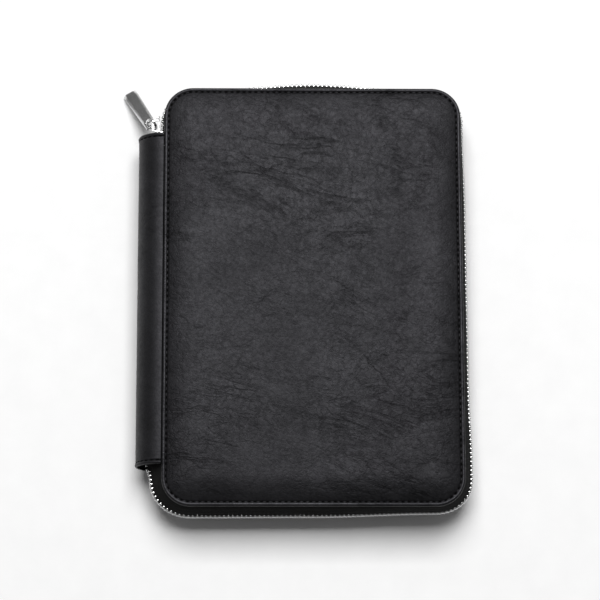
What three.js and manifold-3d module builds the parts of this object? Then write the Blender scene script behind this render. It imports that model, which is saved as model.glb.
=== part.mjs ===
// Zip-around notepad folder, closed and lying on its back cover.
// Millimetres. +X runs from the spine to the opening edge, +Y to the top edge, +Z up from the back
// cover. The origin is the middle of the back cover's flat outer face.
import * as THREE from 'three';
import { mergeVertices } from 'three/addons/utils/BufferGeometryUtils.js';
import Module from 'manifold-3d';

const wasm = await Module();
wasm.setup();

// Covers: a padded board in a turned-in skin, with a lip that is sewn all round.
const coverWidth = 175;
const coverHeight = 250;
const coverCorner = 17;
const closedThickness = 36;
const skinThickness = 0.8;
const foamThickness = 2.1;
const boardThickness = 2.0;
const liningThickness = 0.6;
const crownHeight = 2.2;
const crownRun = 16;
const stitchInset = 2.6;
const stitchGroove = 0.35;
const lip = { roll: 0.15, chamfer: 0.4, round: 0.65 };
const foamEdge = 0.3;
const turnIn = 5;
const fitGap = 0.2;

// Spine: one skin and one lining, scored into panels that unroll flat.
const spineLength = 198;
const spineShift = -1.2;
const spineSkin = 1.0;
const spineLining = 0.5;
const spinePanels = 3;
const spineStandoff = 0.4;
const spinePivotDepth = 2.9;
const creaseGap = 0.3;

// Zip: two tapes, two rows of teeth, and how far the chain bulges past the covers along its way.
const tapeThickness = 0.6;
const tapeTuck = 2;
const tapeInset = 0.6;
const tapeBend = { rise: 0.4, lean: 0.45 };
const toothPitch = 2.75;
const toothDepth = 1.0;
const toothBand = 1.7;
const rowWidth = 2.0;
const rowGap = 0.3;
const stopLength = 1.3;
const stopInset = 0.3;
const lowerBend = 10;
const bulge = {
  sliderCorner: 1.2,
  topMiddle: 5.8,
  topRight: 1.3,
  rightUpper: 2.4,
  rightMiddle: 2.9,
  rightLower: 4.2,
  bottomRight: 1.4,
  bottomMiddle: 3.3,
  bottomLeft: 3.6,
  spineCorner: 6.3,
  spineEnd: 8.8,
};

// Slider, link and pull tab.
const slider = { length: 11, width: 8.8, tailWidth: 6.8, plate: 0.8, y: 106, chamfer: 0.8 };
const sliderPlay = { outer: 1.0, inner: 1.05 };
const post = { length: 2.4, height: 1.8, setback: 0.4, point: 0.8 };
const crown = { hole: 6.0, leg: 1.3, clear: 2.9, bar: 1.0, width: 1.6, shoulder: 1.2, knee: 0.6 };
const link = { radius: 3.3, wire: 0.7 };
const tab = { length: 32, baseWidth: 7, tipWidth: 8.8, thickness: 1.9, bevel: 1.6 };
const tabSlot = { bar: 0.6, length: 3.0, wall: 1.05 };
const weld = 0.3;

// How the link hangs in the crown and the tab in the link, as directions in the part's axes.
const hang = {
  linkAlong: -0.4,
  linkUp: 0.16,
  linkReach: 0.54,
  linkNormal: new THREE.Vector3(-1.23, -1.5, 1),
  ringSide: new THREE.Vector3(-0.82, 0.43, -0.37),
  barSide: new THREE.Vector3(-0.15, -0.46, -0.88),
  barReach: 0.59,
  tabHeading: new THREE.Vector3(-0.49, 0.872, 0),
  tabTipHeight: 1.5,
  tabRoll: 3,
};

// Writing pad and what holds it on the back cover.
const padMargin = { spine: 8.5, opening: 18.5, ends: 20 };
const pad = { paper: 8.5, backing: 1.0, binding: 12, tape: 0.3 };
const sleeve = { margin: 4, height: 95, panel: 0.8, rim: 2.0 };
const penLoop = { bore: 5.2, band: 0.7, length: 20, foot: 7, gap: 1.2, rise: 0.5 };

// Pockets on the inside of the front cover.
const documentPocket = { width: 160, height: 150, panel: 0.8, rim: 2.0, slack: 0.6 };
const cardPocket = { width: 98, height: 58, panel: 0.7, step: 13, count: 3 };
const seamMargin = 4;
const panelCorner = 1.5;

// Places that follow from the sizes above.
const halfWidth = coverWidth / 2;
const halfHeight = coverHeight / 2;
const middle = closedThickness / 2;
const wall = skinThickness + fitGap + foamThickness + boardThickness;
const inside = wall + liningThickness;
const spineRadius = middle - spinePivotDepth;
const spineCentreX = -halfWidth - spineStandoff;
const spineTop = spineShift + spineLength / 2;
const spineBottom = spineShift - spineLength / 2;
const tapeEdge = middle - toothBand;
const padX = [-halfWidth + padMargin.spine, halfWidth - padMargin.opening];
const padY = [-halfHeight + padMargin.ends, halfHeight - padMargin.ends];
const sleeveTop = padY[0] + sleeve.height;

const colours = {
  leather: { color: 0x2b2b2d, roughness: 0.55, metalness: 0 },
  foam: { color: 0x8d8d8a, roughness: 0.95, metalness: 0 },
  greyboard: { color: 0x9a948a, roughness: 0.9, metalness: 0 },
  lining: { color: 0x1f1f22, roughness: 0.85, metalness: 0 },
  tape: { color: 0x151517, roughness: 0.9, metalness: 0 },
  steel: { color: 0xc9cbce, roughness: 0.25, metalness: 1 },
  paper: { color: 0xf3f1ea, roughness: 0.9, metalness: 0 },
  elastic: { color: 0x18181a, roughness: 0.8, metalness: 0 },
};

const notepad = new THREE.Group();

function addPart(name, geometry, colour) {
  const mesh = new THREE.Mesh(geometry, new THREE.MeshStandardMaterial(colours[colour]));
  mesh.name = name;
  notepad.add(mesh);
  return mesh;
}

// Closed meshes from loops of points

function signedVolume(positions, index) {
  const corner = (k) => new THREE.Vector3().fromArray(positions, 3 * index[k]);
  let sum = 0;
  for (let k = 0; k < index.length; k += 3) {
    sum += corner(k).dot(corner(k + 1).cross(corner(k + 2)));
  }
  return sum / 6;
}

function solid(points, index) {
  const positions = points.flatMap((p) => [p.x, p.y, p.z]);
  if (signedVolume(positions, index) < 0) {
    for (let k = 0; k < index.length; k += 3) {
      [index[k + 1], index[k + 2]] = [index[k + 2], index[k + 1]];
    }
  }
  const geometry = new THREE.BufferGeometry();
  geometry.setAttribute('position', new THREE.Float32BufferAttribute(positions, 3));
  geometry.setIndex(index);
  return geometry;
}

function capTriangles(outline) {
  const turn = Math.sign(THREE.ShapeUtils.area(outline));
  return THREE.ShapeUtils.triangulateShape(outline, []).map((t) => {
    const side = Math.sign(THREE.ShapeUtils.area(t.map((k) => outline[k])));
    return side === turn ? t : [t[0], t[2], t[1]];
  });
}

// Joins loops with the same number of points; each end is closed flat, using its flat outline.
function loft(loops, firstOutline, lastOutline) {
  const n = loops[0].length;
  const index = [];
  for (let i = 0; i < loops.length - 1; i += 1) {
    for (let j = 0; j < n; j += 1) {
      const a = i * n + j;
      const b = i * n + ((j + 1) % n);
      index.push(a, b, b + n, a, b + n, a + n);
    }
  }
  const end = (loops.length - 1) * n;
  capTriangles(firstOutline).forEach(([a, b, c]) => index.push(a, c, b));
  capTriangles(lastOutline).forEach(([a, b, c]) => index.push(end + a, end + b, end + c));
  return solid(loops.flat(), index);
}

function mirrored(geometry) {
  const copy = geometry.clone();
  const place = copy.getAttribute('position');
  for (let k = 0; k < place.count; k += 1) place.setZ(k, closedThickness - place.getZ(k));
  const index = copy.getIndex();
  for (let k = 0; k < index.count; k += 3) {
    const second = index.getX(k + 1);
    index.setX(k + 1, index.getX(k + 2));
    index.setX(k + 2, second);
  }
  return copy;
}

// Cuts and joins

function asManifold(geometry) {
  const bare = geometry.clone();
  ['normal', 'uv'].forEach((name) => bare.deleteAttribute(name));
  const merged = mergeVertices(bare, 1e-5);
  const vertProperties = new Float32Array(merged.getAttribute('position').array);
  const triVerts = new Uint32Array(merged.getIndex().array);
  return new wasm.Manifold(new wasm.Mesh({ numProp: 3, vertProperties, triVerts }));
}

function asGeometry(manifold) {
  const mesh = manifold.getMesh();
  const geometry = new THREE.BufferGeometry();
  geometry.setAttribute('position', new THREE.BufferAttribute(mesh.vertProperties, 3));
  geometry.setIndex(new THREE.BufferAttribute(mesh.triVerts, 1));
  return geometry;
}

function box(low, high) {
  const size = new THREE.Vector3(...high).sub(new THREE.Vector3(...low));
  const geometry = new THREE.BoxGeometry(size.x, size.y, size.z);
  const centre = new THREE.Vector3(...low).addScaledVector(size, 0.5);
  return geometry.translate(centre.x, centre.y, centre.z);
}

// Rounded outlines and slabs

function roundedOutline(x0, x1, y0, y1, radius, steps = 6) {
  const corners = [
    [x1 - radius, y1 - radius, 0],
    [x0 + radius, y1 - radius, 90],
    [x0 + radius, y0 + radius, 180],
    [x1 - radius, y0 + radius, 270],
  ];
  return corners.flatMap(([cx, cy, start]) =>
    Array.from({ length: steps + 1 }, (_, k) => {
      const angle = THREE.MathUtils.degToRad(start + (90 * k) / steps);
      return new THREE.Vector2(cx + radius * Math.cos(angle), cy + radius * Math.sin(angle));
    }));
}

function slab(x0, x1, y0, y1, radius, z0, z1, steps = 4) {
  const outline = roundedOutline(x0, x1, y0, y1, radius, steps);
  const shape = new THREE.Shape(outline);
  const geometry = new THREE.ExtrudeGeometry(shape, { depth: z1 - z0, bevelEnabled: false });
  return geometry.translate(0, 0, z0);
}

function coverOutline(inset) {
  const radius = Math.max(coverCorner - inset, 1);
  const x = halfWidth - inset;
  const y = halfHeight - inset;
  return roundedOutline(-x, x, -y, y, radius);
}

// A stack of cover outlines, each given as [inset, height].
function coverStack(levels) {
  const outlines = levels.map(([inset]) => coverOutline(inset));
  const loops = outlines.map((outline, k) =>
    outline.map((p) => new THREE.Vector3(p.x, p.y, levels[k][1])));
  return loft(loops, outlines[0], outlines[outlines.length - 1]);
}

// Covers

// Height of the padded outer face above the flat middle, at a distance in from the edge.
function crownAt(inset) {
  const t = THREE.MathUtils.clamp((inset - stitchInset) / crownRun, 0, 1);
  return crownHeight * (1 - t) ** 2;
}

const crownInsets = [1, 0.75, 0.5, 0.25, 0.08].map((t) => stitchInset + t * crownRun);
const pocketInsets = crownInsets.filter((inset) => inset > turnIn + skinThickness);

function coverSkin() {
  const crownLevels = crownInsets.map((inset) => [inset, crownAt(inset)]);
  const lipLevels = [
    [stitchInset, crownHeight + stitchGroove],
    [stitchInset / 2, crownHeight - lip.roll],
    [lip.chamfer, crownHeight + lip.roll],
    [0, crownHeight + lip.round],
    [0, wall - lip.round],
    [lip.chamfer, wall],
    [turnIn, wall],
  ];
  const floor = (inset) => [inset, crownAt(inset) + skinThickness];
  const pocketLevels = [turnIn, ...pocketInsets.slice().reverse()].map(floor);
  return coverStack([...crownLevels, ...lipLevels, ...pocketLevels]);
}

function foamPad() {
  const rim = turnIn + fitGap;
  const top = wall - boardThickness;
  const aboveSkin = (inset) => crownAt(inset - fitGap) + skinThickness + fitGap;
  const under = (inset) => [inset, Math.min(aboveSkin(inset), top - foamEdge)];
  return coverStack([...pocketInsets, rim].map(under).concat([[rim, top]]));
}

function coverBoard() {
  const rim = turnIn + fitGap;
  return coverStack([[rim, wall - boardThickness], [rim, wall]]);
}

function coverLining() {
  const rim = turnIn + creaseGap;
  return coverStack([[rim, wall], [rim, inside]]);
}

function buildCovers() {
  const pieces = [
    ['cover_skin', coverSkin(), 'leather'],
    ['foam_pad', foamPad(), 'foam'],
    ['cover_board', coverBoard(), 'greyboard'],
    ['lining', coverLining(), 'lining'],
  ];
  pieces.forEach(([name, geometry, colour]) => {
    addPart(`back_${name}`, geometry, colour);
    addPart(`front_${name}`, mirrored(geometry), colour);
  });
}

// Spine

const spinePoint = (angle, radius) => new THREE.Vector2(
  spineCentreX - radius * Math.sin(angle),
  middle + radius * Math.cos(angle),
);

// A panel between two creases, cut back from each crease plane by half the crease gap.
function spinePanel(number, outer, inner) {
  const span = Math.PI / spinePanels;
  const steps = 4;
  const arc = (radius) => {
    const trim = Math.asin(creaseGap / 2 / radius);
    const from = number * span + trim;
    const step = (span - 2 * trim) / steps;
    return Array.from({ length: steps + 1 }, (_, k) => spinePoint(from + step * k, radius));
  };
  const outline = [...arc(outer), ...arc(inner).reverse()];
  const loops = [spineBottom, spineTop].map((y) => outline.map((p) => new THREE.Vector3(p.x, y, p.y)));
  return loft(loops, outline, outline);
}

function buildSpine() {
  const seam = spineRadius - spineSkin;
  for (let k = 0; k < spinePanels; k += 1) {
    addPart(`spine_skin_${k + 1}`, spinePanel(k, spineRadius, seam), 'leather');
    addPart(`spine_lining_${k + 1}`, spinePanel(k, seam, seam - spineLining), 'lining');
  }
}

// Zip

// The way round the covers, from the spine's top end to its bottom end: straights and corners with
// the bulge at each one's start and end.
const edgeX = halfWidth - coverCorner;
const edgeY = halfHeight - coverCorner;
const straight = (from, to, steps, ...ends) => ({ from, to, steps, ends });
const bend = (corner, start, steps, ...ends) => ({ corner, start, steps, ends });
const way = [
  straight([-halfWidth, spineTop - tapeTuck], [-halfWidth, edgeY], 2, 'sliderCorner', 'sliderCorner'),
  bend([-edgeX, edgeY], 180, 8, 'sliderCorner', 'sliderCorner'),
  straight([-edgeX, halfHeight], [0, halfHeight], 6, 'sliderCorner', 'topMiddle'),
  straight([0, halfHeight], [edgeX, halfHeight], 6, 'topMiddle', 'topRight'),
  bend([edgeX, edgeY], 90, 7, 'topRight', 'topRight'),
  straight([halfWidth, edgeY], [halfWidth, edgeY / 2], 2, 'topRight', 'rightUpper'),
  straight([halfWidth, edgeY / 2], [halfWidth, -edgeY / 2], 2, 'rightUpper', 'rightMiddle'),
  straight([halfWidth, -edgeY / 2], [halfWidth, lowerBend - edgeY], 3, 'rightMiddle', 'rightLower'),
  straight([halfWidth, lowerBend - edgeY], [halfWidth, -edgeY], 2, 'rightLower', 'rightLower'),
  bend([edgeX, -edgeY], 0, 7, 'rightLower', 'bottomRight'),
  straight([edgeX, -halfHeight], [0, -halfHeight], 4, 'bottomRight', 'bottomMiddle'),
  straight([0, -halfHeight], [-edgeX, -halfHeight], 3, 'bottomMiddle', 'bottomLeft'),
  bend([-edgeX, -edgeY], 270, 8, 'bottomLeft', 'spineCorner'),
  straight([-halfWidth, -edgeY], [-halfWidth, spineBottom + tapeTuck], 4, 'spineCorner', 'spineEnd'),
];

// A place on the way: a point of the cover's edge, the outward direction there and the bulge.
function placeOn(stretch, t) {
  const ease = t * t * (3 - 2 * t);
  const [first, last] = stretch.ends.map((name) => bulge[name]);
  const out = first + (last - first) * ease;
  if (stretch.corner) {
    const angle = THREE.MathUtils.degToRad(stretch.start - 90 * t);
    const normal = new THREE.Vector2(Math.cos(angle), Math.sin(angle));
    const base = new THREE.Vector2(...stretch.corner).addScaledVector(normal, coverCorner);
    return { base, normal, out };
  }
  const from = new THREE.Vector2(...stretch.from);
  const to = new THREE.Vector2(...stretch.to);
  const normal = new THREE.Vector2().subVectors(to, from).normalize();
  return { base: from.lerp(to, t), normal: new THREE.Vector2(-normal.y, normal.x), out };
}

function stations(density = 1) {
  const places = [placeOn(way[0], 0)];
  way.forEach((stretch) => {
    const steps = stretch.steps * density;
    for (let k = 1; k <= steps; k += 1) places.push(placeOn(stretch, k / steps));
  });
  return places;
}

const offset = (place, out, z) => new THREE.Vector3(
  place.base.x + place.normal.x * out,
  place.base.y + place.normal.y * out,
  z,
);

// The tape lies on the turned-in edge, bends up there and leans out to the teeth.
function tapeSection(out) {
  const kneeHeight = wall + tapeBend.rise * (tapeEdge - wall);
  const kneeOut = tapeBend.lean * out;
  return [
    [-turnIn, wall],
    [-tapeInset, wall],
    [kneeOut, kneeHeight],
    [out + tapeThickness / 2, tapeEdge],
    [out - tapeThickness / 2, tapeEdge],
    [kneeOut - tapeThickness, kneeHeight],
    [-tapeInset - tapeThickness, wall + tapeThickness],
    [-turnIn, wall + tapeThickness],
  ];
}

function zipTape() {
  const places = stations();
  const loops = places.map((place) => tapeSection(place.out).map(([out, z]) => offset(place, out, z)));
  const flat = (place) => tapeSection(place.out).map(([out, z]) => new THREE.Vector2(out, z));
  return loft(loops, flat(places[0]), flat(places[places.length - 1]));
}

// The chain's middle line as evenly spaced places, half a tooth pitch apart.
function chainPlaces(trimStart, trimEnd) {
  const dense = stations(8).map((place) => ({
    at: offset(place, place.out, middle),
    across: new THREE.Vector3(place.normal.x, place.normal.y, 0),
  }));
  const lengths = [0];
  for (let k = 1; k < dense.length; k += 1) {
    lengths.push(lengths[k - 1] + dense[k].at.distanceTo(dense[k - 1].at));
  }
  const total = lengths[lengths.length - 1];
  const halfPitches = Math.floor((total - trimStart - trimEnd) / (toothPitch / 2));
  return Array.from({ length: halfPitches + 1 }, (_, i) => {
    const s = trimStart + (i * toothPitch) / 2;
    const k = Math.min(Math.max(lengths.findIndex((length) => length > s), 1), dense.length - 1);
    const t = (s - lengths[k - 1]) / (lengths[k] - lengths[k - 1]);
    return {
      at: dense[k - 1].at.clone().lerp(dense[k].at, t),
      across: dense[k - 1].across.clone().lerp(dense[k].across, t).normalize(),
    };
  });
}

// Triangles between two rails of points that start and end together.
function railTriangles(top, bottom, topPlace, bottomPlace) {
  const index = [];
  let i = 0;
  let j = 0;
  while (i < top.length - 1 || j < bottom.length - 1) {
    const stepTop = j === bottom.length - 1
      || (i < top.length - 1 && topPlace[i + 1] <= bottomPlace[j + 1]);
    if (stepTop) {
      index.push([top[i], bottom[j], top[i + 1]]);
      i += 1;
    } else {
      index.push([top[i], bottom[j], bottom[j + 1]]);
      j += 1;
    }
  }
  return index;
}

// A run of teeth as one comb: a flat base on the tape's edge and a zigzag that meets the other row.
// side is -1 for the back cover's row and 1 for the front cover's.
function zipTeeth(side, places) {
  const all = places.map((_, k) => k);
  const last = all.length - 1;
  const baseSteps = all.filter((k) => k % 4 === 0 || k === last);
  const zigzag = (k) => middle + (side * rowGap) / 2 + (k % 2 ? toothDepth / 2 : -toothDepth / 2);
  const base = () => middle + side * toothBand;
  const points = [];
  const rail = (steps, face, height) => steps.map((k) => {
    const p = places[k].at.clone().addScaledVector(places[k].across, (face * rowWidth) / 2);
    points.push(p.setZ(height(k)));
    return points.length - 1;
  });
  const topOut = rail(all, 1, zigzag);
  const topIn = rail(all, -1, zigzag);
  const baseOut = rail(baseSteps, 1, base);
  const baseIn = rail(baseSteps, -1, base);
  const flip = ([a, b, c]) => [a, c, b];
  const lastBase = baseSteps.length - 1;
  const index = [
    ...railTriangles(topOut, baseOut, all, baseSteps),
    ...railTriangles(topIn, topOut, all, all),
    ...railTriangles(topIn, baseIn, all, baseSteps).map(flip),
    ...railTriangles(baseIn, baseOut, baseSteps, baseSteps).map(flip),
    [topOut[0], topIn[0], baseIn[0]],
    [topOut[0], baseIn[0], baseOut[0]],
    [topOut[last], baseIn[lastBase], topIn[last]],
    [topOut[last], baseOut[lastBase], baseIn[lastBase]],
  ];
  return solid(points, index.flat());
}

const sliderX = -halfWidth - bulge.sliderCorner;
const postStart = slider.y - slider.length / 2 + post.setback;
const chainStart = postStart + post.length + 2 * rowGap - (spineTop - tapeTuck);
const chainEnd = stopLength + 2 * rowGap;

// A clip on the tape's edge beside the slider's post, where the row of teeth ends.
function topStop() {
  const half = rowWidth / 2 - stopInset;
  const top = middle - post.height / 2 - rowGap;
  return box([sliderX - half, postStart, tapeEdge], [sliderX + half, postStart + stopLength, top]);
}

// Length of chain that the slider reaches on its way round the corner.
function cornerTravel() {
  const quarter = (Math.PI / 2) * (coverCorner + bulge.sliderCorner);
  return quarter + slider.length + 2 * toothPitch;
}

// The bar that closes the chain where it runs into the spine's lower end.
function endStop() {
  const x = -halfWidth - bulge.spineEnd;
  const y0 = spineBottom + tapeTuck;
  const half = rowWidth / 2;
  const high = [x + half, y0, closedThickness - tapeEdge - rowGap];
  return box([x - half, y0 - stopLength, tapeEdge], high);
}

function buildZip() {
  const tape = zipTape();
  addPart('back_zip_tape', tape, 'tape');
  addPart('front_zip_tape', mirrored(tape), 'tape');
  // The slider's corner has its own run of teeth, because they part and mesh as it passes.
  const chain = chainPlaces(chainStart, chainEnd);
  const cornerEnd = 2 * Math.ceil(cornerTravel() / toothPitch);
  const cornerRun = chain.slice(0, cornerEnd + 1);
  const mainRun = chain.slice(cornerEnd + 2);
  [['back', -1], ['front', 1]].forEach(([name, side]) => {
    addPart(`${name}_teeth_corner`, zipTeeth(side, cornerRun), 'steel');
    addPart(`${name}_zip_teeth`, zipTeeth(side, mainRun), 'steel');
  });
  addPart('back_top_stop', topStop(), 'steel');
  addPart('front_top_stop', mirrored(topStop()), 'steel');
  addPart('zip_end_stop', endStop(), 'steel');
}

// Slider and pull

// The slider's own axes: along is +Y, out is -X from the chain's middle, up is +Z.
const sliderPoint = (along, out, up) => new THREE.Vector3(sliderX - out, slider.y + along, middle + up);
const plateFace = rowWidth / 2 + sliderPlay.outer;
const innerFace = plateFace + sliderPlay.inner;
const plateTop = plateFace + slider.plate;

// An outline drawn along and up, given thickness in the out direction.
function sliderPlate(outFrom, outTo, outline) {
  const shape = new THREE.Shape(outline.map(([along, up]) => new THREE.Vector2(along, up)));
  const geometry = new THREE.ExtrudeGeometry(shape, { depth: outTo - outFrom, bevelEnabled: false });
  const axes = new THREE.Matrix4().makeBasis(
    new THREE.Vector3(0, 1, 0),
    new THREE.Vector3(0, 0, 1),
    new THREE.Vector3(1, 0, 0),
  );
  const corner = sliderPoint(0, outTo, 0);
  return geometry.applyMatrix4(axes.setPosition(corner.x, corner.y, corner.z));
}

function sliderBody() {
  const end = slider.length / 2;
  const wide = slider.width / 2;
  const narrow = slider.tailWidth / 2;
  const cut = slider.chamfer;
  const leaf = [
    [-end, -wide + cut], [-end + cut, -wide], [0, -wide], [end - cut, -narrow],
    [end, -narrow + cut], [end, narrow - cut], [end - cut, narrow], [0, wide],
    [-end + cut, wide], [-end, wide - cut],
  ];
  const postFoot = -end + post.setback;
  const postEnd = postFoot + post.length;
  const half = post.height / 2;
  const wedge = [
    [postFoot, -half], [postEnd - post.point, -half], [postEnd, 0],
    [postEnd - post.point, half], [postFoot, half],
  ];
  return asManifold(sliderPlate(plateFace, plateTop, leaf))
    .add(asManifold(sliderPlate(-innerFace - slider.plate, -innerFace, leaf)))
    .add(asManifold(sliderPlate(-innerFace - weld, plateFace + weld, wedge)))
    .add(asManifold(crownArch()));
}

// The arch on the outer plate that the link passes through, drawn along and out.
function crownArch() {
  const { clear, knee, shoulder } = crown;
  const reach = clear + crown.bar;
  const hole = crown.hole / 2;
  const end = hole + crown.leg;
  const profile = [
    [-end, -weld], [-end, reach - 1.5 * shoulder], [-end + shoulder, reach],
    [end - shoulder, reach], [end, reach - 1.5 * shoulder], [end, -weld],
    [hole, -weld], [hole, clear - knee], [hole - knee, clear],
    [-hole + knee, clear], [-hole, clear - knee], [-hole, -weld],
  ];
  const shape = new THREE.Shape(profile.map(([along, out]) => new THREE.Vector2(along, out)));
  const geometry = new THREE.ExtrudeGeometry(shape, { depth: crown.width, bevelEnabled: false });
  const axes = new THREE.Matrix4().makeBasis(
    new THREE.Vector3(0, 1, 0),
    new THREE.Vector3(-1, 0, 0),
    new THREE.Vector3(0, 0, 1),
  );
  const corner = sliderPoint(0, plateTop, -crown.width / 2);
  return geometry.applyMatrix4(axes.setPosition(corner.x, corner.y, corner.z));
}

// The link's ring hangs in the crown's arch, tilted, with the tab's end bar caught in its lower side.
const linkPoint = sliderPoint(hang.linkAlong, plateTop + crown.clear * hang.linkReach, hang.linkUp);
const linkNormal = hang.linkNormal.clone().normalize();
const inRing = (direction) => direction.clone().projectOnPlane(linkNormal).normalize();
const ringCentre = linkPoint.clone().addScaledVector(inRing(hang.ringSide), link.radius);
const barReach = (link.radius - link.wire - tabSlot.bar) * hang.barReach;
const barCentre = ringCentre.clone().addScaledVector(inRing(hang.barSide), barReach);

// Directions of the tab: along it from its end bar, and across it. It leans until its tip is low.
function tabDirections() {
  const heading = hang.tabHeading.clone().normalize();
  const fall = Math.asin((barCentre.z - hang.tabTipHeight) / tab.length);
  const along = heading.clone().multiplyScalar(Math.cos(fall)).setZ(-Math.sin(fall));
  const level = new THREE.Vector3(heading.y, -heading.x, 0);
  const across = level.applyAxisAngle(along, -THREE.MathUtils.degToRad(hang.tabRoll));
  return { along, across };
}

function linkRing() {
  const ring = new THREE.TorusGeometry(link.radius, link.wire, 8, 24);
  const turn = new THREE.Quaternion().setFromUnitVectors(new THREE.Vector3(0, 0, 1), linkNormal);
  return ring.applyQuaternion(turn).translate(...ringCentre.toArray());
}

// The tab is drawn from the middle of its end bar: along to its tip, across its width. Each section
// is its place along the tab, half its width, half its height and the bevel of its upper edges.
function pullTab() {
  const half = tab.thickness / 2;
  const neck = tabSlot.bar + tabSlot.length;
  const tip = tab.length;
  const base = tab.baseWidth / 2;
  const wide = tab.tipWidth / 2;
  const thin = tabSlot.bar;
  const { bevel } = tab;
  const sections = [
    [-tabSlot.bar, base - 0.6, thin, 0.3],
    [-tabSlot.bar + 0.3, base - 0.2, thin, 0.4],
    [tabSlot.bar, base, thin, 0.5],
    [neck, base + 0.1, thin, 0.6],
    [neck + 1.4, base + 0.2, half, bevel],
    [tip - 4, wide - 0.1, half, bevel],
    [tip - 1, wide - 0.2, half * 0.95, bevel],
    [tip - 0.35, wide - 0.6, half * 0.85, bevel * 0.8],
    [tip, wide - 1.4, half * 0.7, bevel * 0.5],
  ];
  const outline = (w, h, b) => [
    [-w, -h], [w, -h], [w, h * 0.1], [w - b, h], [-w + b, h], [-w, h * 0.1],
  ];
  const loops = sections.map(([at, w, h, b]) =>
    outline(w, h, b).map(([x, z]) => new THREE.Vector3(x, at, z)));
  const flat = ([, w, h, b]) => outline(w, h, b).map(([x, z]) => new THREE.Vector2(x, z));
  const body = asManifold(loft(loops, flat(sections[0]), flat(sections[sections.length - 1])));
  const slotHalf = base - tabSlot.wall;
  const slot = asManifold(box([-slotHalf, tabSlot.bar, -tab.thickness], [slotHalf, neck, tab.thickness]));
  const { along, across } = tabDirections();
  const axes = new THREE.Matrix4().makeBasis(across, along, across.clone().cross(along));
  return asGeometry(body.subtract(slot)).applyMatrix4(axes.setPosition(...barCentre.toArray()));
}

function buildPull() {
  addPart('slider_body', asGeometry(sliderBody()), 'steel');
  addPart('pull_link', linkRing(), 'steel');
  addPart('pull_tab', pullTab(), 'steel');
}

// Writing pad

// A panel sewn down along a rim, open along its top edge; z0 is its sewn side.
function pocketPanel({ x0, x1, y0, y1, sewn, face, panel, rim }) {
  const outer = slab(x0, x1, y0, y1, panelCorner, Math.min(sewn, face), Math.max(sewn, face));
  const towards = Math.sign(face - sewn);
  const under = face - towards * panel;
  const z = [sewn - towards, under].sort((a, b) => a - b);
  const hollow = box([x0 + rim, y0 + rim, z[0]], [x1 - rim, y1 + rim, z[1]]);
  return asGeometry(asManifold(outer).subtract(asManifold(hollow)));
}

function buildPad() {
  const [x0, x1] = padX;
  const [y0, y1] = padY;
  const backTop = inside + pad.tape + pad.backing;
  const paperUnder = backTop + fitGap + sleeve.panel + fitGap;
  const paperTop = paperUnder + pad.paper;
  addPart('pad_backing_board', slab(x0, x1, y0, y1, 1, inside + pad.tape, backTop), 'greyboard');
  addPart('paper_block', slab(x0, x1, y0, y1, 0.8, paperUnder, paperTop), 'paper');
  addPart('pad_sleeve', pocketPanel({
    x0: x0 - sleeve.margin, x1: x1 + sleeve.margin, y0: y0 - sleeve.rim - fitGap, y1: sleeveTop,
    sewn: inside, face: backTop + fitGap + sleeve.panel, panel: sleeve.panel, rim: sleeve.rim,
  }), 'leather');
  const wrapTop = paperTop + pad.tape;
  const wrap = asManifold(box([x0, y1 - pad.binding, inside], [x1, y1 + pad.tape, wrapTop]));
  const filling = box([x0 - 1, y1 - pad.binding - 1, inside + pad.tape], [x1 + 1, y1, paperTop]);
  addPart('pad_binding', asGeometry(wrap.subtract(asManifold(filling))), 'tape');
}

// An elastic loop for a pen, its foot flat on the lining beside the pad and above the sleeve.
function buildPenLoop() {
  const outer = penLoop.bore + penLoop.band;
  const x = padX[1] + outer + penLoop.gap;
  const y0 = sleeveTop + penLoop.rise;
  const y1 = y0 + penLoop.length;
  const ring = new THREE.Shape();
  ring.absarc(0, 0, outer, 0, 2 * Math.PI);
  const bore = new THREE.Path();
  bore.absarc(0, 0, penLoop.bore, 0, 2 * Math.PI);
  ring.holes.push(bore);
  const depth = penLoop.length;
  const band = new THREE.ExtrudeGeometry(ring, { depth, bevelEnabled: false, curveSegments: 16 });
  band.rotateX(Math.PI / 2).translate(x, y1, inside + outer);
  const footX = [x - penLoop.foot / 2, x + penLoop.foot / 2];
  const foot = box([footX[0], y0, inside], [footX[1], y1, inside + penLoop.band]);
  addPart('pen_loop', asGeometry(asManifold(band).add(asManifold(foot))), 'elastic');
}

// Pockets on the front cover

function buildPockets() {
  const sewn = closedThickness - inside;
  const bottom = -halfHeight + turnIn + seamMargin;
  const face = sewn - documentPocket.slack - documentPocket.panel;
  addPart('document_pocket', pocketPanel({
    x0: -documentPocket.width / 2, x1: documentPocket.width / 2,
    y0: bottom, y1: bottom + documentPocket.height,
    sewn, face, panel: documentPocket.panel, rim: documentPocket.rim,
  }), 'leather');
  const x0 = -cardPocket.width / 2;
  for (let k = 0; k < cardPocket.count; k += 1) {
    const y1 = bottom + documentPocket.height - seamMargin - k * cardPocket.step;
    const top = face - k * cardPocket.panel;
    const y0 = y1 - cardPocket.height;
    const panel = slab(x0, -x0, y0, y1, panelCorner, top - cardPocket.panel, top);
    addPart(`card_pocket_${k + 1}`, panel, 'leather');
  }
}

buildCovers();
buildSpine();
buildZip();
buildPull();
buildPad();
buildPenLoop();
buildPockets();

export default notepad;
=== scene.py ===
"""Looks of a closed zip-around notepad folder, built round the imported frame.

Metres in Blender; shapes are worked out in millimetres and scaled once. +X runs from the spine to the
opening edge, +Y to the top edge and +Z up from the back cover.
"""

import math

import bmesh
import bpy
import numpy as np
from mathutils import Matrix, Vector, noise


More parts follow.
